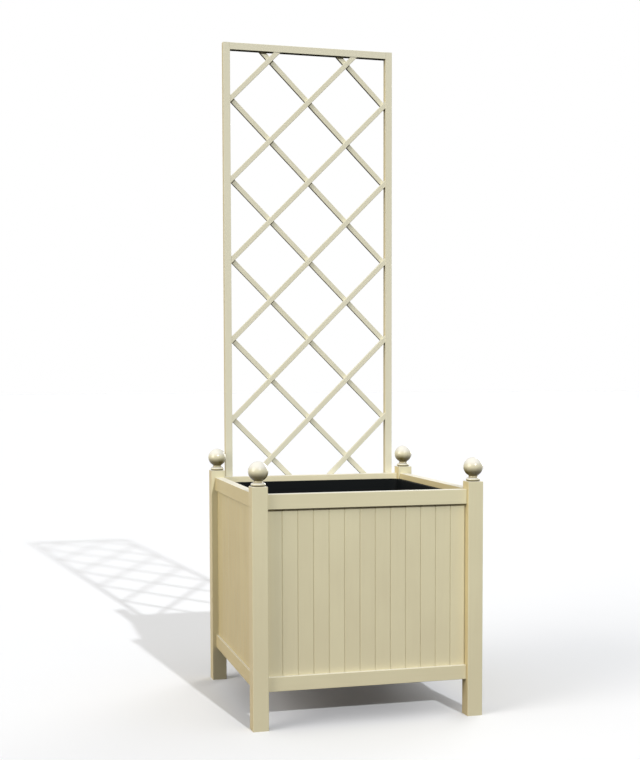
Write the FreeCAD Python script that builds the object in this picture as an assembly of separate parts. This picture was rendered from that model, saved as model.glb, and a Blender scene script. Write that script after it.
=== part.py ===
import FreeCAD, Part
import math
import os

# A square timber planter box with a diamond trellis standing up behind it.
# Four legs carry a top and a bottom rail on every side, upright tongue-and-groove
# boards fill each side, a slatted floor hangs between the bottom rails, and a
# plastic liner stands on that floor. The trellis is screwed to the back rails.
#
# +Z is up and the front looks along -Y. The origin is on the ground, in the
# middle of the whole outline: the ball finials in front, the trellis behind.
# Every size is in millimetres.

V = FreeCAD.Vector
UP = V(0, 0, 1)

# ---------------------------------------------------------------- the box frame
planter_width = 600.0          # over the legs, left to right
planter_depth = 600.0          # over the legs, front to back
post_section = 40.0            # square leg
post_height = 602.0
post_edge_round = 1.5          # upright edges of a leg
post_top_bevel = 1.0           # around its flat top

rail_thickness = 25.0
rail_inset = 11.0              # leg face to rail face, front and sides
back_rail_inset = 0.0          # the back rails are flush, so the trellis lies flat
rail_edge_round = 1.0
top_rail_height = 37.0
top_rail_drop = 20.0           # leg top down to the top of the rail
bottom_rail_height = 36.0
bottom_rail_clearance = 94.0   # ground to the underside of the rail

# ------------------------------------------------------- mortise-and-tenon joints
tenon_thickness = 12.0
tenon_length = 18.0
tenon_shoulder = 5.0           # wood above and below the tenon
glue_gap = 0.15                # round a tenon in its mortise
mortise_end_gap = 1.0          # past the tenon's end
mitre_gap = 0.3                # between two tenons that meet inside a front leg

# --------------------------------------------------------------- boarded sides
board_thickness = 9.0
board_recess = 11.0            # rail face back to board face, front and back
side_board_recess = 6.5        # the same on the left and right sides
board_cover_target = 40.0      # the boards' shown width, before it is evened out
board_gap = 0.2                # between two shoulders
board_v = 1.5                  # leg of the bevel on each shown edge
tongue_thickness = 3.0
tongue_length = 4.0
tongue_clearance = 0.15
board_end_depth = 8.0          # board end inside a rail's groove
rail_groove_depth = 10.0
board_side_depth = 4.0         # outer board's edge inside a leg's groove
post_groove_depth = 5.0
groove_clearance = 0.15        # each side of a board in its groove

# ------------------------------------------------------------------------ floor
bearer_width = 25.0
bearer_height = 20.0
bearer_end_gap = 1.0
slat_width = 60.0
slat_thickness = 15.0
slat_gap_target = 16.0
slat_end_gap = 1.0

# ------------------------------------------------------------------ ball finials
ball_diameter = 50.0
ball_centre_height = 36.5      # above the leg's top
bead_diameter = 37.0
bead_height = 9.0
bead_bulge = 3.0               # how far the half-round bead swells out
finial_neck_diameter = 23.0
finial_taper_height = 3.0
finial_screw_diameter = 6.0
finial_screw_in_post = 20.0
finial_screw_in_ball = 25.0

# ------------------------------------------------------------------------ liner
liner_drop = 14.0              # rail top down to the liner's rim
liner_side_gap = 2.0           # rim to the legs' inner faces
liner_rest_gap = 0.3           # liner's base above the slats
liner_wall = 3.0
liner_base = 3.0
liner_draft = 1.5              # degrees from upright
liner_corner_radius = 24.0     # outside, under the rim
liner_rim_width = 8.0
liner_rim_thickness = 2.5
liner_skirt_depth = 10.0
drain_diameter = 12.0
drain_spacing = 300.0          # between the four outer drains; a fifth is central

# ---------------------------------------------------------------------- trellis
trellis_lift = 7.0             # underside above the bottom rail's underside
trellis_side_gap = 9.0         # trellis edge to the line of the legs' inner faces
stile_width = 20.0
trellis_depth = 20.0
trellis_rail_height = 20.0
trellis_edge_round = 1.0
trellis_tenon_length = 10.0
trellis_tenon_thickness = 7.0
trellis_tenon_shoulder = 4.0
lattice_columns = 4            # half diamonds across the opening, a whole number
lattice_rows = 14              # half diamonds up the opening, an even number
lattice_side_margin = 3.0      # from the outer crossings to a stile
lattice_top_margin = 21.0      # from the highest crossing to the top rail
lattice_foot_margin = 57.0     # from the lowest crossing to the bottom rail
lattice_bar_width = 14.0
lattice_bar_thickness = 9.0
lattice_bar_bevel = 0.8

# ----------------------------------------------------------------- wood screws
trellis_screw_diameter = 4.5
trellis_screw_length = 40.0
trellis_screw_inset = 50.0     # lower screws, inwards from the middle of a stile
screw_head_ratio = 2.0         # head over shank, as on a countersunk screw
screw_point_length = 5.0
screw_hole_gap = 0.05

# --------------------------------------------------------------- worked-out sizes
gap_across = planter_width - 2 * post_section
gap_deep = planter_depth - 2 * post_section
top_rail_top = post_height - top_rail_drop
top_rail_bottom = top_rail_top - top_rail_height
bottom_rail_top = bottom_rail_clearance + bottom_rail_height
back_face = planter_depth / 2
trellis_rear = back_face + trellis_depth
ball_overhang = max(0.0, (ball_diameter - post_section) / 2)
outline_front = -(planter_depth / 2 + ball_overhang)
outline_centre = (outline_front + trellis_rear) / 2


# ------------------------------------------------------------------ small helpers
def save(name, *solids):
    """Write one node, moved so that the outline's centre is over the origin."""
    moved = [solid.translated(V(0, -outline_centre, 0)) for solid in solids]
    shape = moved[0] if len(moved) == 1 else Part.makeCompound(moved)
    shape.exportStep("parts/" + name + ".step")


def block(x0, x1, y0, y1, z0, z1):
    """A box between two corners."""
    return Part.makeBox(x1 - x0, y1 - y0, z1 - z0, V(x0, y0, z0))


def prism(points, direction):
    """A straight prism on a flat polygon."""
    return Part.Face(Part.makePolygon(points + points[:1])).extrude(direction)


def rounded_wire(half_a, half_b, radius, z=0.0):
    """A rectangle with round corners, centred, lying flat at height z."""
    a = half_a - radius
    b = half_b - radius
    edges = []
    corners = [(a, b, 0), (-a, b, 90), (-a, -b, 180), (a, -b, 270)]
    arcs = []
    for x, y, start in corners:
        ring = Part.Circle(V(x, y, z), UP, radius)
        arcs.append(Part.Arc(ring, math.radians(start), math.radians(start + 90)).toShape())
    for i, arc in enumerate(arcs):
        following = arcs[(i + 1) % 4]
        edges.append(arc)
        edges.append(Part.makeLine(arc.valueAt(arc.LastParameter),
                                   following.valueAt(following.FirstParameter)))
    return Part.Wire(edges)


def rounded_bar(width, height, radius, length):
    """A bar along +X from the origin; width lies on Y, height on Z, both centred."""
    bar = Part.Face(rounded_wire(width / 2, height / 2, radius)).extrude(V(0, 0, length))
    bar.rotate(V(0, 0, 0), V(0, 1, 0), 90)
    bar.rotate(V(0, 0, 0), V(1, 0, 0), 90)
    return bar


def wood_screw(diameter, length, tip, direction):
    """A countersunk wood screw without its thread; tip is the point, and
    direction looks from the point to the head."""
    radius = diameter / 2
    head = radius * screw_head_ratio
    outline = [V(0, 0, 0), V(radius, 0, screw_point_length),
               V(radius, 0, length - (head - radius)), V(head, 0, length), V(0, 0, length)]
    screw = Part.Face(Part.makePolygon(outline + outline[:1])).revolve(V(0, 0, 0), UP, 360)
    screw.Placement = FreeCAD.Placement(tip, FreeCAD.Rotation(UP, direction))
    return screw


def screw_hole(diameter, length, tip, direction):
    """The hole that the same screw sits in: its cone is the seat of the head."""
    radius = diameter / 2 + screw_hole_gap
    head = diameter / 2 * screw_head_ratio
    cone = head - diameter / 2
    outline = [V(0, 0, -1), V(radius, 0, -1), V(radius, 0, length - cone + screw_hole_gap),
               V(head, 0, length), V(0, 0, length)]
    hole = Part.Face(Part.makePolygon(outline + outline[:1])).revolve(V(0, 0, 0), UP, 360)
    hole.Placement = FreeCAD.Placement(tip, FreeCAD.Rotation(UP, direction))
    return hole


# ------------------------------------------------------------- one boarded side
# A side is drawn facing +Y: x runs along it from its middle, and y = 0 is the
# plane of the legs' outer faces. It is then turned to its place round the box.
def tenon(span, end, inset, z0, z1, grow, extra):
    """The tenon on a rail's end, or with grow and extra the mortise for it."""
    middle = -inset - rail_thickness / 2
    half = tenon_thickness / 2 + grow
    x0 = span / 2 - (0.0 if grow == 0 else 1.0)
    x1 = span / 2 + tenon_length + extra
    low = z0 + tenon_shoulder - grow
    high = z1 - tenon_shoulder + grow
    if end > 0:
        return block(x0, x1, middle - half, middle + half, low, high)
    return block(-x1, -x0, middle - half, middle + half, low, high)


def mitre_waste(span, end, z0, z1):
    """What the 45 degree mitre takes off a tenon that meets another in a leg."""
    corner = span / 2 + post_section
    reach = post_section
    start = corner - mitre_gap / 2
    points = [(start, 0), (start - reach, -reach), (corner + reach, -reach), (corner + reach, 0)]
    return prism([V(end * x, y, z0) for x, y in points], V(0, 0, z1 - z0))


def rail(span, inset, recess, z0, z1, mitred_ends, groove_up):
    """A rail with a tenon at each end. The boards' groove runs along one edge and
    on through both tenons, because the outer boards stand into the legs."""
    height = z1 - z0
    bar = rounded_bar(rail_thickness, height, rail_edge_round, span)
    bar.translate(V(-span / 2, -inset - rail_thickness / 2, (z0 + z1) / 2))
    for end in (-1, 1):
        piece = tenon(span, end, inset, z0, z1, 0.0, 0.0)
        if end in mitred_ends:
            piece = piece.cut(mitre_waste(span, end, z0, z1))
        bar = bar.fuse(piece)
    bar = bar.removeSplitter()
    front = -inset - recess + groove_clearance
    back = front - board_thickness - 2 * groove_clearance
    if groove_up:
        return bar.cut(block(-span, span, back, front, z1 - rail_groove_depth, z1 + 1))
    return bar.cut(block(-span, span, back, front, z0 - 1, z0 + rail_groove_depth))


def board(x0, x1, face, z0, z1, first, last):
    """One upright board: a groove in its left edge and a tongue on its right.
    The outer boards of a side have a plain edge that stands in the leg."""
    rear = face - board_thickness
    middle = (face + rear) / 2
    left = x0 + board_gap / 2
    right = x1 - board_gap / 2
    half = tongue_thickness / 2
    slot = half + tongue_clearance
    slot_depth = tongue_length + tongue_clearance
    if first:
        points = [(x0 - board_side_depth, rear), (x0 - board_side_depth, face)]
    else:
        points = [(left, rear), (left, middle - slot), (left + slot_depth, middle - slot),
                  (left + slot_depth, middle + slot), (left, middle + slot),
                  (left, face - board_v), (left + board_v, face)]
    if last:
        points += [(x1 + board_side_depth, face), (x1 + board_side_depth, rear)]
    else:
        points += [(right - board_v, face), (right, face - board_v), (right, middle + half),
                   (right + tongue_length, middle + half), (right + tongue_length, middle - half),
                   (right, middle - half), (right, rear)]
    return prism([V(x, y, z0) for x, y in points], V(0, 0, z1 - z0))


def board_row(span, inset, recess):
    """The boards of one side, standing in the bottom rail's groove."""
    count = max(2, round(span / board_cover_target))
    cover = span / count
    foot = bottom_rail_top - rail_groove_depth
    head = top_rail_bottom + board_end_depth
    row = []
    for i in range(count):
        x0 = -span / 2 + i * cover
        row.append(board(x0, x0 + cover, -inset - recess, foot, head,
                         i == 0, i == count - 1))
    return row


def post_cuts(span, inset, recess):
    """Mortises and stopped grooves that this side needs in its two legs."""
    cuts = []
    front = -inset - recess + groove_clearance
    back = front - board_thickness - 2 * groove_clearance
    for end in (-1, 1):
        for z0, z1 in ((bottom_rail_clearance, bottom_rail_top), (top_rail_bottom, top_rail_top)):
            cuts.append(tenon(span, end, inset, z0, z1, glue_gap, mortise_end_gap))
        edge = end * span / 2
        inner = edge - end
        outer = edge + end * post_groove_depth
        cuts.append(block(min(inner, outer), max(inner, outer), back, front,
                          bottom_rail_top - rail_groove_depth - groove_clearance,
                          top_rail_bottom + rail_groove_depth))
    return cuts


sides = {
    "back": dict(angle=0, span=gap_across, reach=planter_depth / 2,
                 inset=back_rail_inset, recess=board_recess, mitred=()),
    "left": dict(angle=90, span=gap_deep, reach=planter_width / 2,
                 inset=rail_inset, recess=side_board_recess, mitred=(-1,)),
    "front": dict(angle=180, span=gap_across, reach=planter_depth / 2,
                  inset=rail_inset, recess=board_recess, mitred=(-1, 1)),
    "right": dict(angle=-90, span=gap_deep, reach=planter_width / 2,
                  inset=rail_inset, recess=side_board_recess, mitred=(1,)),
}


def turned(shape, side):
    """Move a shape from the side's own drawing to its place round the box."""
    placed = shape.translated(V(0, side["reach"], 0))
    placed.rotate(V(0, 0, 0), UP, side["angle"])
    return placed


# ------------------------------------------------------------- screws and holes
# Two screws hold the stiles to the top back rail, and two hold the trellis's
# bottom rail to the planter's.
stile_x = gap_across / 2 - trellis_side_gap - stile_width / 2
trellis_foot = bottom_rail_clearance + trellis_lift
trellis_screw_places = [(sign * stile_x, (top_rail_bottom + top_rail_top) / 2)
                        for sign in (-1, 1)]
trellis_screw_places += [(sign * (stile_x - trellis_screw_inset),
                          trellis_foot + trellis_rail_height / 2) for sign in (-1, 1)]
trellis_screws = []
trellis_screw_holes = []
for x, z in trellis_screw_places:
    tip = V(x, trellis_rear - trellis_screw_length, z)
    toward_head = V(0, 1, 0)
    trellis_screws.append(wood_screw(trellis_screw_diameter, trellis_screw_length,
                                     tip, toward_head))
    trellis_screw_holes.append(screw_hole(trellis_screw_diameter, trellis_screw_length,
                                          tip, toward_head))


# -------------------------------------------------------------- rails and boards
leg_cuts = []
for name, side in sides.items():
    span, inset, recess = side["span"], side["inset"], side["recess"]
    bottom = rail(span, inset, recess, bottom_rail_clearance, bottom_rail_top,
                  side["mitred"], True)
    top = rail(span, inset, recess, top_rail_bottom, top_rail_top,
               side["mitred"], False)
    save("bottom_rail_" + name, turned(bottom, side).cut(trellis_screw_holes))
    save("top_rail_" + name, turned(top, side).cut(trellis_screw_holes))
    boards = board_row(span, inset, recess)
    save("boards_" + name, *[turned(piece, side) for piece in boards])
    leg_cuts += [turned(cut, side) for cut in post_cuts(span, inset, recess)]

# --------------------------------------------------------------- legs and finials
bead_radius = bead_diameter / 2
neck_radius = finial_neck_diameter / 2
ball_radius = ball_diameter / 2
taper_top = bead_height + finial_taper_height
ball_meets_neck = ball_centre_height - math.sqrt(ball_radius ** 2 - neck_radius ** 2)
bead_seat = bead_radius - bead_bulge
screw_radius = finial_screw_diameter / 2


def finial():
    """A turned ball on a bead and a short neck, drilled from below."""
    ball_side = V(ball_radius, 0, ball_centre_height)
    outline = [
        Part.makeLine(V(0, 0, 0), V(bead_seat, 0, 0)),
        Part.Arc(V(bead_seat, 0, 0), V(bead_radius, 0, bead_height / 2),
                 V(bead_seat, 0, bead_height)).toShape(),
        Part.makeLine(V(bead_seat, 0, bead_height), V(neck_radius, 0, taper_top)),
        Part.makeLine(V(neck_radius, 0, taper_top), V(neck_radius, 0, ball_meets_neck)),
        Part.Arc(V(neck_radius, 0, ball_meets_neck), ball_side,
                 V(0, 0, ball_centre_height + ball_radius)).toShape(),
        Part.makeLine(V(0, 0, ball_centre_height + ball_radius), V(0, 0, 0)),
    ]
    turned_ball = Part.Face(Part.Wire(outline)).revolve(V(0, 0, 0), UP, 360)
    bore = Part.makeCylinder(screw_radius + screw_hole_gap, finial_screw_in_ball + 1)
    return turned_ball.cut(bore)


def finial_screw():
    """The double-ended screw that holds the ball on the leg."""
    return Part.makeCylinder(screw_radius, finial_screw_in_post + finial_screw_in_ball,
                             V(0, 0, -finial_screw_in_post))


def leg(x, y):
    """A leg with round edges, its mortises, grooves and the finial's pilot hole."""
    section = rounded_wire(post_section / 2, post_section / 2, post_edge_round)
    body = Part.Face(section).extrude(V(0, 0, post_height))
    rim = [edge for edge in body.Edges if edge.BoundBox.ZMin > post_height - 0.01]
    body = body.makeChamfer(post_top_bevel, rim)
    pilot = Part.makeCylinder(screw_radius + screw_hole_gap, finial_screw_in_post + 1,
                              V(0, 0, post_height - finial_screw_in_post))
    body = body.cut(pilot).translated(V(x, y, 0))
    near = [cut for cut in leg_cuts if cut.BoundBox.intersect(body.BoundBox)]
    return body.cut(near)


finial_screws = []
for row, sign_y in (("front", -1), ("back", 1)):
    for column, sign_x in (("left", -1), ("right", 1)):
        corner = row + "_" + column
        x = sign_x * (planter_width - post_section) / 2
        y = sign_y * (planter_depth - post_section) / 2
        save("post_" + corner, leg(x, y))
        seat = V(x, y, post_height)
        save("finial_" + corner, finial().translated(seat))
        finial_screws.append(finial_screw().translated(seat))
save("finial_screws", *finial_screws)

# ------------------------------------------------------------------------- floor
# Two bearers are glued and pinned inside the side rails, and the slats lie on them.
floor_top = bottom_rail_top
bearer_top = floor_top - slat_thickness
bearer_length = gap_deep - 2 * bearer_end_gap
bearer_outer = planter_width / 2 - rail_inset - rail_thickness
bearer_inner = bearer_outer - bearer_width
for name, sign in (("left", -1), ("right", 1)):
    bearer = block(min(sign * bearer_inner, sign * bearer_outer),
                   max(sign * bearer_inner, sign * bearer_outer),
                   -bearer_length / 2, bearer_length / 2,
                   bearer_top - bearer_height, bearer_top)
    save("floor_bearer_" + name, bearer)

slat_half_length = bearer_outer - slat_end_gap
slat_count = max(2, math.floor((bearer_length + slat_gap_target) / (slat_width + slat_gap_target)))
slat_pitch = (bearer_length - slat_width) / (slat_count - 1)
slats = []
for i in range(slat_count):
    y0 = -bearer_length / 2 + i * slat_pitch
    slats.append(block(-slat_half_length, slat_half_length, y0, y0 + slat_width,
                       bearer_top, floor_top))
save("floor_slats", *slats)

# ------------------------------------------------------------------------- liner
rim_top = top_rail_top - liner_drop
liner_foot = floor_top + liner_rest_gap
rim_half_x = gap_across / 2 - liner_side_gap
rim_half_y = gap_deep / 2 - liner_side_gap
shell_half_x = rim_half_x - liner_rim_width
shell_half_y = rim_half_y - liner_rim_width
draft_slope = math.tan(math.radians(liner_draft))


def drafted_shell(inset, z0, z1):
    """A box with round corners that narrows downwards by the draft."""
    wires = []
    for z in (z0, z1):
        narrowing = inset + (rim_top - z) * draft_slope
        wires.append(rounded_wire(shell_half_x - narrowing, shell_half_y - narrowing,
                                  liner_corner_radius - inset, z))
    return Part.makeLoft(wires, True, True)


def rim_plate(inset, z0, z1):
    """A slab with the rim's outline, set in by inset."""
    wire = rounded_wire(rim_half_x - inset, rim_half_y - inset,
                        liner_corner_radius + liner_rim_width - inset, z0)
    return Part.Face(wire).extrude(V(0, 0, z1 - z0))


skirt_foot = rim_top - liner_skirt_depth
rim = rim_plate(0.0, skirt_foot, rim_top)
rim = rim.cut(rim_plate(liner_rim_thickness, skirt_foot - 1, rim_top - liner_rim_thickness))
liner = drafted_shell(0.0, liner_foot, rim_top).fuse(rim)
liner = liner.cut(drafted_shell(liner_wall, liner_foot + liner_base, rim_top + 1))
drains = []
for i, j in ((0, 0), (-1, -1), (-1, 1), (1, -1), (1, 1)):
    drains.append(Part.makeCylinder(drain_diameter / 2, 3 * liner_base,
                                    V(i * drain_spacing / 2, j * drain_spacing / 2,
                                      liner_foot - liner_base)))
save("liner", liner.cut(drains).removeSplitter())

# ----------------------------------------------------------------- trellis frame
# The bars cross on a square net of half diamonds. Its size follows the opening's
# width, and the trellis is as tall as its rows make it.
trellis_middle = back_face + trellis_depth / 2
opening_half = stile_x - stile_width / 2
half_diamond = 2 * (opening_half - lattice_side_margin) / lattice_columns
opening_foot = trellis_foot + trellis_rail_height
lowest_crossing = opening_foot + lattice_foot_margin
opening_top = lowest_crossing + lattice_rows * half_diamond + lattice_top_margin
trellis_top = opening_top + trellis_rail_height


def trellis_rail_tenons(z, grow, extra):
    """Both tenons of a cross rail centred at height z, or their mortises."""
    half_y = trellis_tenon_thickness / 2 + grow
    half_z = trellis_rail_height / 2 - trellis_tenon_shoulder + grow
    near = opening_half - (0.0 if grow == 0 else 1.0)
    far = opening_half + trellis_tenon_length + extra
    shapes = []
    for x0, x1 in ((-far, -near), (near, far)):
        shapes.append(block(x0, x1, trellis_middle - half_y, trellis_middle + half_y,
                            z - half_z, z + half_z))
    return shapes


cross_rail_heights = {"bottom": trellis_foot + trellis_rail_height / 2,
                      "top": trellis_top - trellis_rail_height / 2}
stile_mortises = []
for name, z in cross_rail_heights.items():
    cross = rounded_bar(trellis_depth, trellis_rail_height, trellis_edge_round, 2 * opening_half)
    cross.translate(V(-opening_half, trellis_middle, z))
    cross = cross.fuse(trellis_rail_tenons(z, 0.0, 0.0)).removeSplitter()
    save("trellis_rail_" + name, cross.cut(trellis_screw_holes))
    stile_mortises += trellis_rail_tenons(z, glue_gap, mortise_end_gap)

for name, x in (("left", -stile_x), ("right", stile_x)):
    section = rounded_wire(stile_width / 2, trellis_depth / 2, trellis_edge_round, trellis_foot)
    stile = Part.Face(section).extrude(V(0, 0, trellis_top - trellis_foot))
    stile = stile.translated(V(x, trellis_middle, 0))
    save("trellis_stile_" + name, stile.cut(stile_mortises + trellis_screw_holes))
save("trellis_screws", *trellis_screws)

# --------------------------------------------------------------- diamond lattice
# Bars rise to the right in the front layer and to the left in the rear layer,
# and every bar ends on the inner edges of the stiles and rails.
lattice_setback = (trellis_depth - 2 * lattice_bar_thickness) / 2


def lattice_bar(climb, level, y0):
    """The bar that meets the left stile's inner edge at height level, rising to
    the right where climb is 1 and falling where it is -1, trimmed to the frame."""
    half = lattice_bar_width / 2
    bevel = lattice_bar_bevel
    deep = lattice_bar_thickness
    outline = [(-half, bevel), (-half, deep - bevel), (-half + bevel, deep), (half - bevel, deep),
               (half, deep - bevel), (half, bevel), (half - bevel, 0), (-half + bevel, 0)]
    length = 2 * (2 * opening_half + lattice_bar_width) * math.sqrt(2)
    bar = prism([V(0, y, z) for z, y in outline], V(length, 0, 0))
    bar.translate(V(-length / 4, 0, 0))
    bar.rotate(V(0, 0, 0), V(0, 1, 0), -45 * climb)
    bar.translate(V(-opening_half, y0, level))
    frame = block(-opening_half, opening_half, y0 - 1, y0 + deep + 1, opening_foot, opening_top)
    return bar.common(frame)


layers = (("front", 1, back_face + lattice_setback),
          ("rear", -1, back_face + lattice_setback + lattice_bar_thickness))
bar_count = (lattice_rows + lattice_columns) // 2
for layer, climb, y0 in layers:
    lowest = 1 - lattice_columns if climb == 1 else 1
    for number in range(bar_count):
        level = lowest_crossing + (lowest + 2 * number) * half_diamond
        level -= climb * lattice_side_margin
        bar = lattice_bar(climb, level, y0)
        save("lattice_" + layer + "_%02d" % (number + 1), bar.Solids[0])
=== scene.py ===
import math

import bmesh
import bpy
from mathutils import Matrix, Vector


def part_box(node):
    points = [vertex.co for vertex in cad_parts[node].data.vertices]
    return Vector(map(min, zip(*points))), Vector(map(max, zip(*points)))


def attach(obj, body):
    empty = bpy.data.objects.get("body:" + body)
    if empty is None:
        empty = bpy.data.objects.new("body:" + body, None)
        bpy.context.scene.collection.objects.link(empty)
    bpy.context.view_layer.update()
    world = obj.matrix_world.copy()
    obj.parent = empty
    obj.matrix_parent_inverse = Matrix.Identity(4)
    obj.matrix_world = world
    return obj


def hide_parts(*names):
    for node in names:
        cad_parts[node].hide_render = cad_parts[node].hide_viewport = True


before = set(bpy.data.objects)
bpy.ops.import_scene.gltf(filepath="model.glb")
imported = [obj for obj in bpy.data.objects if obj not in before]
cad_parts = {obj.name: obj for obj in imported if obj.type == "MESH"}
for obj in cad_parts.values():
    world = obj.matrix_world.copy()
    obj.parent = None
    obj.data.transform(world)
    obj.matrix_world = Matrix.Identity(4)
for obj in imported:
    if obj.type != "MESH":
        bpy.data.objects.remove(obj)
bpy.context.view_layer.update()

# ---------------------------------------------------------------- the view
# The planter is seen from its left and from a little above the top rails, about
# three and a half metres away, so the front and the left side both show.
EYE = (-0.9297, -3.3268, 0.8721)
LOOKING = (86.654, 0.140, -14.859)
LENS = 60.485
VIEW_RAISED = 0.0921


def in_scene(name, data):
    """A new object that stands in the scene."""
    made = bpy.data.objects.new(name, data)
    bpy.context.scene.collection.objects.link(made)
    return made


def in_radians(angles):
    """Angles given in degrees, in radians."""
    return [math.radians(angle) for angle in angles]


camera = in_scene("camera", bpy.data.cameras.new("camera"))
camera.location = EYE
camera.rotation_euler = in_radians(LOOKING)
camera.data.lens = LENS
camera.data.shift_y = VIEW_RAISED
bpy.context.scene.camera = camera
bpy.context.scene.view_settings.view_transform = "Standard"

# ---------------------------------------------------------------- the studio
# A plain pale floor in a white room. Soft light comes from above and from large
# screens at both sides. A lamp in front, a third of the way up, lays the trellis's
# shadow on the floor behind. Broad warm lamps fill the left side and the back.
FLOOR_REACH = 60
FLOOR_SEEN = (0.835, 0.855, 0.895)
FLOOR_BOUNCE = (0.05, 0.04, 0.025)
FLOOR_CLOUDS = 3.0                      # clouds to the metre, of a slightly lighter grey
CLOUDS_LIGHTER = 1.01
SOFT_ALL_ROUND = 0.02
SOFT_FROM_ABOVE = 0.55
SOFT_FROM_SIDES = 0.8
SCREEN_TINT = (1.0, 0.96, 0.86)
LAMPS = (                               # name, the way to it, level, tint, breadth in degrees
    ("front lamp", (0.12, -0.86, 0.49), 2.0, (1.0, 1.0, 1.0), 1.2),
    ("left lamp", (-0.90, -0.30, 0.32), 1.95, (1.0, 0.94, 0.86), 40),
    ("rear lamp", (0.68, 0.70, 0.15), 1.8, (1.0, 0.97, 0.92), 40),
)
LAMPS_AWAY = 4


def give(tree, node, inputs):
    """Sets a node's inputs, each to a value or to another node's output."""
    for socket, value in inputs.items():
        if isinstance(value, bpy.types.NodeSocket):
            tree.links.new(value, node.inputs[socket])
        elif node.inputs[socket].type == "RGBA":
            node.inputs[socket].default_value = (*value, 1)
        else:
            node.inputs[socket].default_value = value


def add_node(tree, kind, inputs=None, **options):
    """A new node with its options and inputs."""
    made = tree.nodes.new(kind)
    for option, value in options.items():
        setattr(made, option, value)
    give(tree, made, inputs or {})
    return made


def worked_out(tree, operation, a, b=0.0, c=0.0, clamped=False):
    """A sum on numbers."""
    return add_node(tree, "ShaderNodeMath", {0: a, 1: b, 2: c},
                    operation=operation, use_clamp=clamped).outputs[0]


def on_vectors(tree, operation, a, b, c=(0, 0, 0)):
    """A sum on vectors or colours."""
    return add_node(tree, "ShaderNodeVectorMath", {0: a, 1: b, 2: c},
                    operation=operation).outputs[0]


def split(tree, vector):
    """The X, Y and Z of a vector."""
    return add_node(tree, "ShaderNodeSeparateXYZ", {0: vector}).outputs


def mixed(tree, mask, first, second, blend_type="MIX"):
    """The first colour where the mask is 0 and the second where it is 1."""
    return add_node(tree, "ShaderNodeMix", {0: mask, 6: first, 7: second},
                    data_type="RGBA", blend_type=blend_type).outputs[2]


def mottled(tree, place, scale, detail, **more):
    """Uneven patches from 0 to 1, about this many to the metre."""
    return add_node(tree, "ShaderNodeTexNoise",
                    {"Vector": place, "Scale": scale, "Detail": detail, **more}).outputs["Fac"]


def what_the_camera_sees(tree):
    """1 where a ray comes from the camera, straight or by way of gloss or glass, and 0 for
    soft light."""
    ray = add_node(tree, "ShaderNodeLightPath").outputs
    gloss = worked_out(tree, "MAXIMUM", ray["Is Camera Ray"], ray["Is Glossy Ray"])
    return worked_out(tree, "MAXIMUM", gloss, ray["Is Transmission Ray"])


floor_finish = bpy.data.materials.new("studio floor")
floor_finish.use_nodes = True
tree = floor_finish.node_tree
tree.nodes.clear()
clouds = mottled(tree, add_node(tree, "ShaderNodeTexCoord").outputs["Object"], FLOOR_CLOUDS, 4.0)
pale = mixed(tree, clouds, FLOOR_SEEN, [c * CLOUDS_LIGHTER for c in FLOOR_SEEN])
colour = mixed(tree, what_the_camera_sees(tree), FLOOR_BOUNCE, pale)
matt = add_node(tree, "ShaderNodeBsdfDiffuse", {"Color": colour})
add_node(tree, "ShaderNodeOutputMaterial", {"Surface": matt.outputs[0]})

floor_mesh = bpy.data.meshes.new("floor")
floor_mesh.from_pydata([(x * FLOOR_REACH, y * FLOOR_REACH, 0)
                        for x, y in ((-1, -1), (1, -1), (1, 1), (-1, 1))], [], [(0, 1, 2, 3)])
floor_mesh.materials.append(floor_finish)
floor = in_scene("floor", floor_mesh)

sky = bpy.data.worlds.new("white sky")
sky.use_nodes = True
bpy.context.scene.world = sky
tree = sky.node_tree
tree.nodes.clear()
way = split(tree, add_node(tree, "ShaderNodeTexCoord").outputs["Generated"])
up = worked_out(tree, "MAXIMUM", way["Z"], 0.0)
sideways = worked_out(tree, "ABSOLUTE", way["X"])
screens = on_vectors(tree, "MULTIPLY", [c * SOFT_FROM_SIDES for c in SCREEN_TINT], sideways)
raised = on_vectors(tree, "ADD", screens, [SOFT_FROM_ABOVE] * 3)
raised = on_vectors(tree, "MULTIPLY", raised, up)
soft = on_vectors(tree, "ADD", raised, [SOFT_ALL_ROUND] * 3)
light = add_node(tree, "ShaderNodeBackground",
                 {"Color": mixed(tree, what_the_camera_sees(tree), soft, (1, 1, 1))})
add_node(tree, "ShaderNodeOutputWorld", {"Surface": light.outputs[0]})

for name, stands, level, tint, breadth in LAMPS:
    lamp = in_scene(name, bpy.data.lights.new(name, "SUN"))
    lamp.location = Vector(stands) * LAMPS_AWAY
    lamp.rotation_euler = Vector(stands).to_track_quat("Z", "Y").to_euler()
    lamp.data.energy = level
    lamp.data.color = tint
    lamp.data.angle = math.radians(breadth)

# ---------------------------------------------------------------- the legs
# Four square legs of planed softwood, 40 mm thick, brushed up and down with cream
# exterior paint. What faces up is painted paler as a painted highlight, what faces left
# and right a warmer, darker painted shade, and what faces down a dark painted shade.
CREAM = (0.662, 0.626, 0.437)
CREAM_WORN_THIN = (0.580, 0.535, 0.370)
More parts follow.
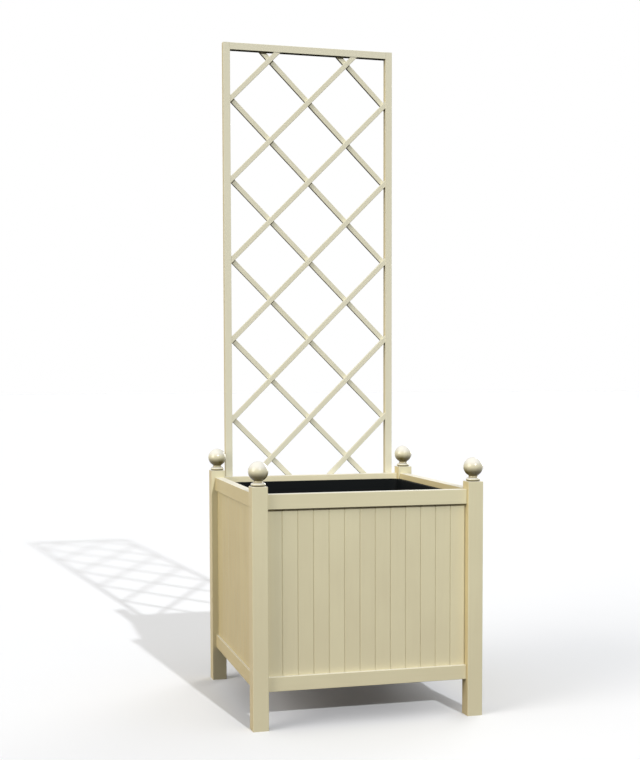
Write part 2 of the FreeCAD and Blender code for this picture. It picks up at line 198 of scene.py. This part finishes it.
# Painted light: a pale highlight for faces turned up, a darker, warmer tint for faces turned to the
# sides, and a dark shade for faces turned down.
CREAM_PAINTED_HIGHLIGHT = (0.78, 0.76, 0.66)
SIDE_SHADE_TINT = (0.99, 0.905, 0.745)
UNDERSIDE_SHADE = (0.08, 0.07, 0.04)
SHINE = 0.12
BRUSH_LINES, BRUSH_DRAWN_OUT = 520.0, 0.03   # lines to the metre, and how far along they run
GRAIN_LINES, GRAIN_DRAWN_OUT = 110.0, 0.06
FADED_PATCHES = 5.0
GRAIN_SHOWS = (0.45, 0.75, 0.0, 0.15)        # from, to, and how worn it looks at each
PATCHES_SHOW = (0.35, 0.7, 0.0, 0.4)
DARKER_NEAR_GROUND = (0.50, 0.05, 0.0, 0.85)           # metres above the ground, and how far towards the worn colour
PLANKS_DIFFER = 0.25
PLANKS_APART = (3.1, 1.7, 5.3)
# Faces turned this far to the left or right get the painted side shade.
SIDES_FROM, SIDES_TO = 0.75, 0.95
BRUSHED_SHEEN = (0.3, 0.7, 0.36, 0.46)
# How much rougher the paint is where shade is painted below.
UNDERSIDE_SHADE_DULLS = 0.5
GRAIN_STANDS = 0.6
PAINT_RELIEF, PAINT_RELIEF_STRENGTH = 0.00004, 0.5


def ranged(tree, value, low, high, to_low=0.0, to_high=1.0, smooth=False):
    """A value brought from one range to another and held within it."""
    return add_node(tree, "ShaderNodeMapRange",
                    {"Value": value, "From Min": low, "From Max": high,
                     "To Min": to_low, "To Max": to_high},
                    interpolation_type="SMOOTHSTEP" if smooth else "LINEAR").outputs[0]


def drawn_out(tree, place, *scale):
    """A place whose pattern is drawn out along the axes with a small scale."""
    return add_node(tree, "ShaderNodeMapping", {"Vector": place, "Scale": scale}).outputs[0]


def turned_by(tree, place, angles):
    """A place turned about the origin."""
    return add_node(tree, "ShaderNodeMapping", {"Vector": place, "Rotation": angles}).outputs[0]


def sockets(tree, going, *named):
    """Gives a node tree its named inputs or outputs, with their first values where given."""
    for label, kind, *first in named:
        made = tree.interface.new_socket(label, in_out=going, socket_type="NodeSocket" + kind)
        if first:
            made.default_value = (*first[0], 1) if kind == "Color" else first[0]


def make_paint_film():
    """Brushed paint on planed wood: low brush lines and the grain under them, both along the
    piece's length, which Turn brings to Z. It is darker towards the ground. It also has
    painted light: a paler painted highlight on top, a warmer, darker painted shade at the
    sides and a dark painted shade below, which is also rougher."""
    tree = bpy.data.node_groups.new("brushed paint film", "ShaderNodeTree")
    # Some inputs are painted light: a highlight for faces turned up, and shade for faces turned to
    # the sides and down.
    sockets(tree, "INPUT", ("Place", "Vector"), ("Turn", "Vector"), ("Paint", "Color", CREAM),
            ("Worn Thin", "Color", CREAM_WORN_THIN), ("Bleached", "Color", CREAM_PAINTED_HIGHLIGHT),
            ("Bleached From", "Float", 0.6), ("Bleached To", "Float", 0.95),
            ("Yellowed Sides", "Color", SIDE_SHADE_TINT), ("Grime", "Color", UNDERSIDE_SHADE),
            ("Grimy From", "Float", -0.35), ("Grimy To", "Float", -0.75), ("Plank", "Float", 0.0))
    sockets(tree, "OUTPUT", ("Colour", "Color"), ("Roughness", "Float"), ("Height", "Float"))
    given = add_node(tree, "NodeGroupInput").outputs
    along = on_vectors(tree, "ADD", turned_by(tree, given["Place"], given["Turn"]),
                       on_vectors(tree, "MULTIPLY", given["Plank"], PLANKS_APART))
    lines = mottled(tree, drawn_out(tree, along, 1, 1, BRUSH_DRAWN_OUT), BRUSH_LINES, 3.0,
                    Roughness=0.6)
    grain = mottled(tree, drawn_out(tree, along, 1, 1, GRAIN_DRAWN_OUT), GRAIN_LINES, 4.0,
                    Distortion=0.5)
    patches = mottled(tree, along, FADED_PATCHES, 3.0)
    worn = worked_out(tree, "ADD", ranged(tree, grain, *GRAIN_SHOWS),
                      ranged(tree, patches, *PATCHES_SHOW))
    worn = worked_out(tree, "MULTIPLY_ADD", given["Plank"], PLANKS_DIFFER, worn)
    # Darker towards the ground.
    lower_darker = ranged(tree, split(tree, given["Place"])["Z"], *DARKER_NEAR_GROUND)
    worn = worked_out(tree, "ADD", worn, lower_darker, clamped=True)
    colour = mixed(tree, worn, given["Paint"], given["Worn Thin"])
    # Painted light by which way a face turns: shade at the sides, a highlight on top, dark shade
    # below.
    facing = split(tree, add_node(tree, "ShaderNodeNewGeometry").outputs["Normal"])
    sideways = ranged(tree, worked_out(tree, "ABSOLUTE", facing["X"]), SIDES_FROM, SIDES_TO,
                      smooth=True)
    colour = mixed(tree, sideways, colour, given["Yellowed Sides"], "MULTIPLY")
    painted_highlight = ranged(tree, facing["Z"], given["Bleached From"], given["Bleached To"], smooth=True)
    colour = mixed(tree, painted_highlight, colour, given["Bleached"])
    painted_shade_below = ranged(tree, facing["Z"], given["Grimy From"], given["Grimy To"], smooth=True)
    colour = mixed(tree, painted_shade_below, colour, given["Grime"])
    sheen = ranged(tree, lines, *BRUSHED_SHEEN)
    sheen = worked_out(tree, "MULTIPLY_ADD", painted_shade_below, UNDERSIDE_SHADE_DULLS, sheen)
    height = worked_out(tree, "MULTIPLY_ADD", grain, GRAIN_STANDS, lines)
    add_node(tree, "NodeGroupOutput", {"Colour": colour, "Roughness": sheen, "Height": height})
    return tree


paint_film = make_paint_film()


def start_material(name):
    """A new material with an empty tree, its Principled BSDF and its object coordinates."""
    made = bpy.data.materials.new(name)
    made.use_nodes = True
    made.node_tree.nodes.clear()
    body = add_node(made.node_tree, "ShaderNodeBsdfPrincipled")
    add_node(made.node_tree, "ShaderNodeOutputMaterial", {"Surface": body.outputs[0]})
    place = add_node(made.node_tree, "ShaderNodeTexCoord")
    return made, made.node_tree, body, place.outputs["Object"]


def raised_by(tree, height, distance, strength):
    """The normal of a surface with a fine relief."""
    return add_node(tree, "ShaderNodeBump", {"Height": height, "Distance": distance,
                                             "Strength": strength}).outputs[0]


def cream_paint(name, turn=(0, 0, 0), planks=None, paint=CREAM, worn=CREAM_WORN_THIN,
                underside_shade=UNDERSIDE_SHADE, shine=SHINE):
    """Cream paint whose marks run along a piece: turn brings the piece's length to Z. planks
    is the axis, first edge and width of the boards of a panel, so each has its own grain."""
    made, tree, body, place = start_material(name)
    # Faces turned down get painted shade in the dark colour given here.
    film = add_node(tree, "ShaderNodeGroup",
                    {"Place": place, "Turn": in_radians(turn), "Paint": paint,
                     "Worn Thin": worn, "Grime": underside_shade}, node_tree=paint_film)
    if planks:
        axis, first, width = planks
        board = worked_out(tree, "FLOOR", worked_out(tree, "MULTIPLY_ADD", split(tree, place)[axis],
                                                     1 / width, -first / width))
        chance = add_node(tree, "ShaderNodeTexWhiteNoise", {"W": board}, noise_dimensions="1D")
        give(tree, film, {"Plank": chance.outputs["Value"]})
    give(tree, body, {
        "Base Color": film.outputs["Colour"], "Roughness": film.outputs["Roughness"],
        "Normal": raised_by(tree, film.outputs["Height"], PAINT_RELIEF, PAINT_RELIEF_STRENGTH),
        "Specular IOR Level": shine})
    return made


def finish_nodes(names, finish):
    """Puts a finish on CAD nodes."""
    for name in names:
        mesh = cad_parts[name].data
        mesh.materials.clear()
        mesh.materials.append(finish)


CORNERS = [(front, side) for front in ("front", "back") for side in ("left", "right")]
finish_nodes([f"post_{front}_{side}" for front, side in CORNERS],
             cream_paint("cream paint, upright"))

# ---------------------------------------------------------------- the rails
# Top and bottom rails, 25 mm thick, tenoned into the legs and painted with them.
# Their grain runs level: across in front and behind, and from front to back at the
# sides. The back top rail is painted a lighter cream, as painted light.
ACROSS = (0, -90, 0)
FRONT_TO_BACK = (90, 0, 0)
SIDE_SHINE = 0.03
# A lighter cream for the back top rail: painted light.
LIGHTER_CREAM_PAINTED = (0.76, 0.71, 0.50)


def both_rails(*sides):
    """The names of the top and bottom rails of these sides."""
    return [f"{level}_rail_{side}" for level in ("top", "bottom") for side in sides]


finish_nodes(both_rails("front", "back"), cream_paint("cream paint, across", ACROSS))
finish_nodes(both_rails("left", "right"),
             cream_paint("cream paint, front to back", FRONT_TO_BACK, shine=SIDE_SHINE))
finish_nodes(["top_rail_back"], cream_paint("cream paint, painted light, back rail", ACROSS, paint=LIGHTER_CREAM_PAINTED))

# ---------------------------------------------------------------- the boards
# Thirteen tongue-and-groove boards on each side, 40 mm of each showing, with a V
# between neighbours. Every board is a different stick, so its grain is its own.
BOARD = 0.040
HALF_PANEL = 6.5 * BOARD
box_middle = (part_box("post_front_left")[0].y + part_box("post_back_left")[1].y) / 2
finish_nodes(["boards_front", "boards_back"],
             cream_paint("cream paint, boards across", planks=("X", -HALF_PANEL, BOARD)))
finish_nodes(["boards_left", "boards_right"],
             cream_paint("cream paint, boards front to back",
                         planks=("Y", box_middle - HALF_PANEL, BOARD), shine=SIDE_SHINE))

# ---------------------------------------------------------------- the finials
# A hardwood ball on a neck and a half-round bead, turned in one piece, sanded fine
# and painted with more gloss than the frame. A double-ended screw holds each on its leg.
FOOT, FOOT_EDGE = (0.0146, 0.0), (0.0156, 0.0004)     # radius and height on the leg
BEAD, BEAD_ROOT = 0.0185, 0.0146
BEAD_UP, BEAD_HALF, BEAD_SWEEP = 0.0045, 0.0041, 80
SHOULDER = (0.0150, 0.0088)
COVE, COVE_UP, COVE_TOP, COVE_RISE = 0.0143, 0.0091, 0.0132, 0.0041
NECK, NECK_UP = 0.0114, 0.0112
BALL, BALL_UP = 0.025, 0.0365
BEAD_STEPS, COVE_STEPS, BALL_STEPS, TURNS = 12, 8, 40, 72
# Painted light on the ball: a pale painted highlight over its upper half and a dark painted shade
# under its lower half.
TURNED_FILM = {"Bleached": (0.72, 0.71, 0.65), "Bleached From": 0.05, "Bleached To": 0.6,
               "Yellowed Sides": (1, 1, 1), "Grime": (0.10, 0.075, 0.012),
               "Grimy From": 0.15, "Grimy To": -0.60}
# Painted shade in the neck under the ball.
NECK_SHADE = (0.30, 0.25, 0.12)
NECK_SHADE_REACH = (0.0040, 0.0016, 0.0, 0.8)     # metres from the neck's middle, and how dark its painted shade is
MARKS_ROUND = 0.05
TURNED_RELIEF, TURNED_RELIEF_STRENGTH = 0.00003, 0.3


def turned_outline():
    """(radius, height) from the seat on the leg up to the top of the ball."""
    outline = [(0.0, 0.0), FOOT, FOOT_EDGE]
    full = math.sin(math.radians(BEAD_SWEEP))
    for step in range(1, BEAD_STEPS):
        angle = math.radians(-BEAD_SWEEP + 2 * BEAD_SWEEP * step / BEAD_STEPS)
        outline.append((BEAD_ROOT + (BEAD - BEAD_ROOT) * math.cos(angle),
                        BEAD_UP + BEAD_HALF * math.sin(angle) / full))
    outline += [SHOULDER, (COVE, COVE_UP)]
    for step in range(1, COVE_STEPS):
        angle = math.radians(90 * step / COVE_STEPS)
        outline.append((COVE - (COVE - NECK) * math.sin(angle),
                        COVE_TOP - COVE_RISE * math.cos(angle)))
    meets = math.asin(NECK / BALL)
    for step in range(BALL_STEPS):
        angle = -math.pi / 2 + meets + (math.pi - meets) * step / BALL_STEPS
        outline.append((BALL * math.cos(angle), BALL_UP + BALL * math.sin(angle)))
    return outline + [(0.0, BALL_UP + BALL)]


def turn_finial(name, seat):
    """Spins the outline round the leg's middle and closes both ends."""
    work = bmesh.new()
    around = [2 * math.pi * n / TURNS for n in range(TURNS)]
    rings = [[work.verts.new(seat + Vector((radius * math.cos(a), radius * math.sin(a), height)))
              for a in (around if radius else around[:1])] for radius, height in turned_outline()]
    for low, high in zip(rings, rings[1:]):
        for n in range(TURNS):
            m = (n + 1) % TURNS
            if len(low) == 1:
                work.faces.new((low[0], high[m], high[n]))
            elif len(high) == 1:
                work.faces.new((low[n], low[m], high[0]))
            else:
                work.faces.new((low[n], low[m], high[m], high[n]))
    bmesh.ops.recalc_face_normals(work, faces=work.faces)
    mesh = bpy.data.meshes.new(name)
    work.to_mesh(mesh)
    work.free()
    mesh.shade_smooth()
    return in_scene(name, mesh)


def gloss_paint(name, neck):
    """The same paint over turned wood: the marks run round, and the coat on top shines. The
    neck, which is at this height, is painted darker as painted shade."""
    made, tree, body, place = start_material(name)
    round_marks = drawn_out(tree, place, MARKS_ROUND, MARKS_ROUND, 1)
    film = add_node(tree, "ShaderNodeGroup", {"Place": round_marks, **TURNED_FILM},
                    node_tree=paint_film)
    away = worked_out(tree, "ABSOLUTE", worked_out(tree, "SUBTRACT", split(tree, place)["Z"], neck))
    neck_shaded = ranged(tree, away, *NECK_SHADE_REACH)
    give(tree, body, {
        "Base Color": mixed(tree, neck_shaded, film.outputs["Colour"], NECK_SHADE),
        "Roughness": film.outputs["Roughness"],
        "Normal": raised_by(tree, film.outputs["Height"], TURNED_RELIEF, TURNED_RELIEF_STRENGTH),
        "Specular IOR Level": 0.1, "Coat Weight": 1.0, "Coat Roughness": 0.10})
    return made


painted_turning = gloss_paint("cream paint, turned and glossy",
                              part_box("post_front_left")[1].z + NECK_UP)
for front, side in CORNERS:
    leg_low, leg_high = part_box(f"post_{front}_{side}")
    seat = Vector(((leg_low.x + leg_high.x) / 2, (leg_low.y + leg_high.y) / 2, leg_high.z))
    finial = turn_finial(f"turned_finial_{front}_{side}", seat)
    finial.data.materials.append(painted_turning)
    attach(finial, "planter")
    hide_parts(f"finial_{front}_{side}")

# ---------------------------------------------------------------- the floor of the box
# Bare pressure-treated softwood: two bearers glued and pinned inside the side rails,
# and seven slats nailed across them with gaps for the water.
TIMBER = (0.52, 0.38, 0.20)
LATE_WOOD = (0.34, 0.21, 0.09)
RINGS, RINGS_DRAWN_OUT = 75.0, 0.10          # rings to the metre, and how far along they run
RINGS_SWAY = (0.05, 0.05, 0.0)
LATE_WOOD_SHOWS = (0.35, 0.95)
PORES, PORES_DRAWN_OUT = 900.0, 0.02
TIMBER_DULL = (0.0, 1.0, 0.62, 0.82)
TIMBER_RELIEF, TIMBER_RELIEF_STRENGTH = 0.0003, 0.5


def make_timber_figure():
    """Plain-sawn softwood with its length along Z of Place: rings drawn out into long arches,
    and pores."""
    tree = bpy.data.node_groups.new("softwood figure", "ShaderNodeTree")
    sockets(tree, "INPUT", ("Place", "Vector"), ("Early Wood", "Color", TIMBER),
            ("Late Wood", "Color", LATE_WOOD))
    sockets(tree, "OUTPUT", ("Colour", "Color"), ("Roughness", "Float"), ("Height", "Float"))
    given = add_node(tree, "NodeGroupInput").outputs
    drawn = drawn_out(tree, given["Place"], 1, 1, RINGS_DRAWN_OUT)
    sway = add_node(tree, "ShaderNodeTexNoise", {"Vector": drawn, "Scale": 9.0, "Detail": 2.0})
    bent = on_vectors(tree, "MULTIPLY_ADD", sway.outputs["Color"], RINGS_SWAY, drawn)
    rings = add_node(tree, "ShaderNodeTexWave",
                     {"Vector": bent, "Scale": RINGS, "Distortion": 1.5, "Detail": 2.0},
                     wave_type="RINGS", rings_direction="Z")
    pores = mottled(tree, drawn_out(tree, given["Place"], 1, 1, PORES_DRAWN_OUT), PORES, 2.0)
    late = ranged(tree, rings.outputs["Fac"], *LATE_WOOD_SHOWS)
    late = worked_out(tree, "MULTIPLY_ADD", late, 0.6, pores)
    late = worked_out(tree, "SUBTRACT", late, 0.35, clamped=True)
    colour = mixed(tree, late, given["Early Wood"], given["Late Wood"])
    add_node(tree, "NodeGroupOutput",
             {"Colour": colour, "Roughness": ranged(tree, pores, *TIMBER_DULL), "Height": late})
    return tree


timber_figure = make_timber_figure()


def bare_timber(name, turn):
    """Unpainted softwood: turn brings the piece's length to Z."""
    made, tree, body, place = start_material(name)
    figure = add_node(tree, "ShaderNodeGroup",
                      {"Place": turned_by(tree, place, in_radians(turn))},
                      node_tree=timber_figure).outputs
    give(tree, body, {
        "Base Color": figure["Colour"], "Roughness": figure["Roughness"],
        "Normal": raised_by(tree, figure["Height"], TIMBER_RELIEF, TIMBER_RELIEF_STRENGTH)})
    return made


finish_nodes(["floor_bearer_left", "floor_bearer_right"],
             bare_timber("bare timber, front to back", FRONT_TO_BACK))
finish_nodes(["floor_slats"], bare_timber("bare timber, across", ACROSS))

# ---------------------------------------------------------------- the slats' nails
# Two round wire nails through each end of each slat into the bearer, driven flush.
# Only their flat steel heads show.
SLATS = 7
SLAT_WIDE = 0.060
NAIL_PAIR = 0.034
NAIL_HEAD = 0.0024
NAIL_PROUD = 0.0002
NAIL_TOP = 0.8                               # of the head's radius
STEEL = (0.62, 0.62, 0.60)
STEEL_DULLER = 0.72
STEEL_ROUGH = (0.0, 1.0, 0.26, 0.46)
STEEL_RELIEF, STEEL_RELIEF_STRENGTH = 0.00005, 0.3


def steel_finish(name):
    """Zinc-plated steel with fine scratches and a little dullness in patches."""
    made, tree, body, place = start_material(name)
    scratches = mottled(tree, place, 900.0, 3.0)
    patches = mottled(tree, place, 160.0, 2.0)
    give(tree, body, {
        "Base Color": mixed(tree, patches, STEEL, [c * STEEL_DULLER for c in STEEL]),
        "Roughness": ranged(tree, scratches, *STEEL_ROUGH), "Metallic": 1.0,
        "Normal": raised_by(tree, scratches, STEEL_RELIEF, STEEL_RELIEF_STRENGTH)})
    return made


screw_steel = steel_finish("zinc-plated screw steel")


def repeating_tree(name, **sizes):
    """A geometry tree with its named sizes and a finish, and the outputs they come from."""
    tree = bpy.data.node_groups.new(name, "GeometryNodeTree")
    sockets(tree, "INPUT", *((label.replace("_", " "), kind) for label, kind in sizes.items()),
            ("Finish", "Material"))
    sockets(tree, "OUTPUT", ("Geometry", "Geometry"))
    return tree, add_node(tree, "NodeGroupInput").outputs


def set_on_places(tree, given, places, piece):
    """Ends a tree: the piece on every place, made real and given its finish."""
    copies = add_node(tree, "GeometryNodeInstanceOnPoints", {"Points": places, "Instance": piece})
    real = add_node(tree, "GeometryNodeRealizeInstances", {0: copies.outputs[0]})
    finished = add_node(tree, "GeometryNodeSetMaterial",
                        {"Geometry": real.outputs[0], "Material": given["Finish"]})
    add_node(tree, "NodeGroupOutput", {0: finished.outputs[0]})


def made_by(tree, name, finish, **sizes):
    """The plain mesh object that a repeating tree makes from these sizes."""
    made = in_scene(name, bpy.data.meshes.new(name))
    modifier = made.modifiers.new("repeat", "NODES")
    modifier.node_group = tree
    sizes["Finish"] = finish
    for item in tree.interface.items_tree:
        if item.in_out == "INPUT":
            modifier[item.identifier] = sizes[item.name.replace(" ", "_")]
    bpy.context.view_layer.update()
    shown = made.evaluated_get(bpy.context.evaluated_depsgraph_get())
    mesh = bpy.data.meshes.new_from_object(shown)
    made.modifiers.remove(modifier)
    made.data = mesh
    mesh.name = name
    return made


def in_metres(tree, x, y, z):
    """A place from numbers or sizes."""
    return add_node(tree, "ShaderNodeCombineXYZ", {0: x, 1: y, 2: z}).outputs[0]


def two_ends(tree, first, last):
    """The two ends of a line."""
    ends = add_node(tree, "GeometryNodeMeshLine",
                    {"Start Location": first, "Offset": last}, mode="END_POINTS")
    ends.inputs["Count"].default_value = 2
    return ends.outputs[0]


def moved(tree, geometry, **how):
    """A geometry shifted, turned or scaled."""
    return add_node(tree, "GeometryNodeTransform", {"Geometry": geometry, **how}).outputs[0]


def make_slat_nails():
    """A pair of flat heads at both ends of every slat."""
    tree, given = repeating_tree("slat nails", Slats="Int", Pitch="Float", Reach="Float",
                                 Pair="Float", Head="Float", Proud="Float", Middle="Vector")
    run = worked_out(tree, "MULTIPLY", given["Pitch"],
                     worked_out(tree, "SUBTRACT", given["Slats"], 1.0))
    ends = add_node(tree, "GeometryNodeMeshGrid",
                    {"Size X": worked_out(tree, "MULTIPLY", given["Reach"], 2.0), "Size Y": run,
                     "Vertices X": 2, "Vertices Y": given["Slats"]})
    half = worked_out(tree, "MULTIPLY", given["Pair"], 0.5)
    pair = two_ends(tree, in_metres(tree, 0, worked_out(tree, "MULTIPLY", half, -1.0), 0),
                    in_metres(tree, 0, half, 0))
    head = add_node(tree, "GeometryNodeMeshCone",
                    {"Vertices": 16, "Radius Bottom": given["Head"], "Depth": given["Proud"],
                     "Radius Top": worked_out(tree, "MULTIPLY", given["Head"], NAIL_TOP)})
    two = add_node(tree, "GeometryNodeInstanceOnPoints",
                   {"Points": pair, "Instance": head.outputs[0]})
    set_on_places(tree, given, moved(tree, ends.outputs[0], Translation=given["Middle"]),
                  two.outputs[0])
    return tree


slats_low, slats_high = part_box("floor_slats")
bearer_low, bearer_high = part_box("floor_bearer_right")
nails = made_by(make_slat_nails(), "slat_nails", screw_steel, Slats=SLATS,
                Pitch=((slats_high.y - slats_low.y) - SLAT_WIDE) / (SLATS - 1),
                Reach=(bearer_low.x + bearer_high.x) / 2,
                Pair=NAIL_PAIR, Head=NAIL_HEAD, Proud=NAIL_PROUD,
                Middle=(0.0, (slats_low.y + slats_high.y) / 2, slats_high.z))
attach(nails, "planter")

# ---------------------------------------------------------------- the liner
# A black box pressed from one sheet of polypropylene, with a rim turned over to
# stiffen it and five drain holes. It stands loose on the slats and lifts out.
BLACK = (0.0035, 0.0045, 0.0050)
BLACK_RUBBED = (0.0065, 0.0080, 0.0085)
BLACK_SHEEN = (0.3, 0.7, 0.55, 0.68)
PEBBLES, PEBBLE_RELIEF, PEBBLE_STRENGTH = 900.0, 0.00015, 0.35


def moulded_black(name):
    """Black plastic with the fine pebbled skin of the mould, and smoother rubbed places."""
    made, tree, body, place = start_material(name)
    pebble = add_node(tree, "ShaderNodeTexVoronoi", {"Vector": place, "Scale": PEBBLES},
                      feature="SMOOTH_F1")
    rubbed = mottled(tree, place, 14.0, 4.0)
    give(tree, body, {
        "Base Color": mixed(tree, rubbed, BLACK, BLACK_RUBBED),
        "Roughness": ranged(tree, rubbed, *BLACK_SHEEN), "Specular IOR Level": 0.06,
        "Normal": raised_by(tree, pebble.outputs["Distance"], PEBBLE_RELIEF, PEBBLE_STRENGTH)})
    return made


finish_nodes(["liner"], moulded_black("moulded black plastic"))

# ---------------------------------------------------------------- the trellis frame
# Two stiles and two rails, 20 mm square, tenoned together and painted. The cream is
# paler up here, away from the box, and the painted shade under the bars is darker.
# Faces turned down on the trellis get a near-black painted shade.
PALE = {"paint": (0.69, 0.67, 0.53), "worn": (0.66, 0.635, 0.48),
        "underside_shade": (0.03, 0.028, 0.016), "shine": 0.03}
finish_nodes(["trellis_stile_left", "trellis_stile_right"],
             cream_paint("pale cream paint, upright", **PALE))
finish_nodes(["trellis_rail_top", "trellis_rail_bottom"],
             cream_paint("pale cream paint, across", ACROSS, **PALE))

# ---------------------------------------------------------------- the lattice
# Two layers of slim bars laid across each other at right angles, let into the frame:
# those in front rise to the right, and those behind rise to the left.
BARS = range(1, 10)
rising_right = cream_paint("pale cream paint, rising right", (0, -45, 0), **PALE)
rising_left = cream_paint("pale cream paint, rising left", (0, 45, 0), **PALE)
finish_nodes([f"lattice_front_{n:02d}" for n in BARS], rising_right)
finish_nodes([f"lattice_rear_{n:02d}" for n in BARS], rising_left)

# ---------------------------------------------------------------- the lattice pins
# A panel pin through every crossing, punched nearly flush and painted over, so only
# a low round head shows on the front bars.
HALF_DIAMOND = 0.114
FIRST_CROSSING = 0.178
PIN_COLUMNS, PIN_ROWS = 3, 15
PIN_HEAD, PIN_PROUD = 0.0016, 0.00035


def make_lattice_pins():
    """A low head on every second point of a square net, as the bars cross there."""
    tree, given = repeating_tree("lattice pins", Columns="Int", Rows="Int", Half_Diamond="Float",
                                 Head="Float", Proud="Float", Middle="Vector")
    wide, tall = (worked_out(tree, "MULTIPLY", given["Half Diamond"],
                             worked_out(tree, "SUBTRACT", given[count], 1.0))
                  for count in ("Columns", "Rows"))
    net = add_node(tree, "GeometryNodeMeshGrid",
                   {"Size X": wide, "Size Y": tall,
                    "Vertices X": given["Columns"], "Vertices Y": given["Rows"]})
    at = split(tree, add_node(tree, "GeometryNodeInputPosition").outputs[0])
    along = worked_out(tree, "ADD", at[0], worked_out(tree, "MULTIPLY", wide, 0.5))
    up = worked_out(tree, "ADD", at[1], worked_out(tree, "MULTIPLY", tall, 0.5))
    steps = worked_out(tree, "DIVIDE", worked_out(tree, "ADD", along, up), given["Half Diamond"])
    odd = worked_out(tree, "MODULO", worked_out(tree, "ROUND", steps), 2.0)
    crossings = add_node(tree, "GeometryNodeDeleteGeometry",
                         {"Geometry": net.outputs[0],
                          "Selection": worked_out(tree, "GREATER_THAN", odd, 0.5)}, domain="POINT")
    stood = moved(tree, crossings.outputs[0], Rotation=(math.radians(90), 0, 0),
                  Translation=given["Middle"])
    ball = add_node(tree, "GeometryNodeMeshUVSphere",
                    {"Segments": 12, "Rings": 6, "Radius": given["Head"]})
    flat = worked_out(tree, "DIVIDE", given["Proud"], given["Head"])
    low = moved(tree, ball.outputs[0], Scale=in_metres(tree, 1.0, flat, 1.0))
    smooth = add_node(tree, "GeometryNodeSetShadeSmooth", {"Geometry": low})
    set_on_places(tree, given, stood, smooth.outputs[0])
    return tree


pins = made_by(make_lattice_pins(), "lattice_pins", rising_right,
               Columns=PIN_COLUMNS, Rows=PIN_ROWS, Half_Diamond=HALF_DIAMOND,
               Head=PIN_HEAD, Proud=PIN_PROUD,
               Middle=(0.0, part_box("lattice_front_05")[0].y,
                       FIRST_CROSSING + (PIN_ROWS - 1) // 2 * HALF_DIAMOND))
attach(pins, "planter")

# ---------------------------------------------------------------- the trellis screws
# Four countersunk wood screws, driven from behind through the stiles and the
# trellis's bottom rail into the back rails, with a cross recess in each head. The
# double-ended screws inside the finials are of the same steel.
SCREW_HEAD, SCREW_SHANK, SCREW_LENGTH = 0.0045, 0.00225, 0.040
RECESS_LONG, RECESS_WIDE, RECESS_DEEP = 0.0052, 0.0011, 0.0026
LOWER_IN = 0.040                             # from the stile to the lower screws


def joined(tree, *parts):
    """Several geometries as one."""
    made = add_node(tree, "GeometryNodeJoinGeometry")
    for part in reversed(parts):
        tree.links.new(part, made.inputs[0])
    return made.outputs[0]


def make_trellis_screws():
    """Two pairs of screws, an upper and a lower, their heads flush with the trellis's back."""
    tree, given = repeating_tree("trellis screws", Upper_Reach="Float", Upper_Height="Float",
                                 Lower_Reach="Float", Lower_Height="Float", Back="Float",
                                 Head="Float", Shank="Float", Length="Float")
    pairs = []
    for pair in ("Upper", "Lower"):
        reach, height = given[f"{pair} Reach"], given[f"{pair} Height"]
        left = worked_out(tree, "MULTIPLY", reach, -1.0)
        pairs.append(two_ends(tree, in_metres(tree, left, given["Back"], height),
                              in_metres(tree, reach, given["Back"], height)))
    depth = worked_out(tree, "SUBTRACT", given["Head"], given["Shank"])
    cone = add_node(tree, "GeometryNodeMeshCone",
                    {"Vertices": 32, "Radius Top": given["Head"], "Radius Bottom": given["Shank"],
                     "Depth": depth})
    down = in_metres(tree, 0, 0, worked_out(tree, "MULTIPLY", depth, -1.0))
    head = add_node(tree, "GeometryNodeMeshBoolean",
                    {"Mesh 1": moved(tree, cone.outputs[0], Translation=down)},
                    operation="DIFFERENCE")
    for size in ((RECESS_LONG, RECESS_WIDE, RECESS_DEEP), (RECESS_WIDE, RECESS_LONG, RECESS_DEEP)):
        blade = add_node(tree, "GeometryNodeMeshCube", {"Size": size})
        tree.links.new(blade.outputs[0], head.inputs["Mesh 2"])
    shank = add_node(tree, "GeometryNodeMeshCylinder",
                     {"Vertices": 24, "Radius": given["Shank"],
                      "Depth": worked_out(tree, "SUBTRACT", given["Length"], depth)})
    lower = worked_out(tree, "MULTIPLY", worked_out(tree, "ADD", given["Length"], depth), -0.5)
    hung = moved(tree, shank.outputs[0], Translation=in_metres(tree, 0, 0, lower))
    screw = moved(tree, joined(tree, head.outputs[0], hung), Rotation=(math.radians(-90), 0, 0))
    set_on_places(tree, given, joined(tree, *pairs), screw)
    return tree


stile_low, stile_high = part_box("trellis_stile_right")
foot_low, foot_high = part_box("trellis_rail_bottom")
top_low, top_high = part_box("top_rail_back")
screws = made_by(make_trellis_screws(), "cross_head_screws", screw_steel,
                 Upper_Reach=(stile_low.x + stile_high.x) / 2,
                 Upper_Height=(top_low.z + top_high.z) / 2,
                 Lower_Reach=stile_low.x - LOWER_IN,
                 Lower_Height=(foot_low.z + foot_high.z) / 2,
                 Back=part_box("trellis_stile_left")[1].y,
                 Head=SCREW_HEAD, Shank=SCREW_SHANK, Length=SCREW_LENGTH)
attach(screws, "planter")
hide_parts("trellis_screws")
finish_nodes(["finial_screws"], screw_steel)
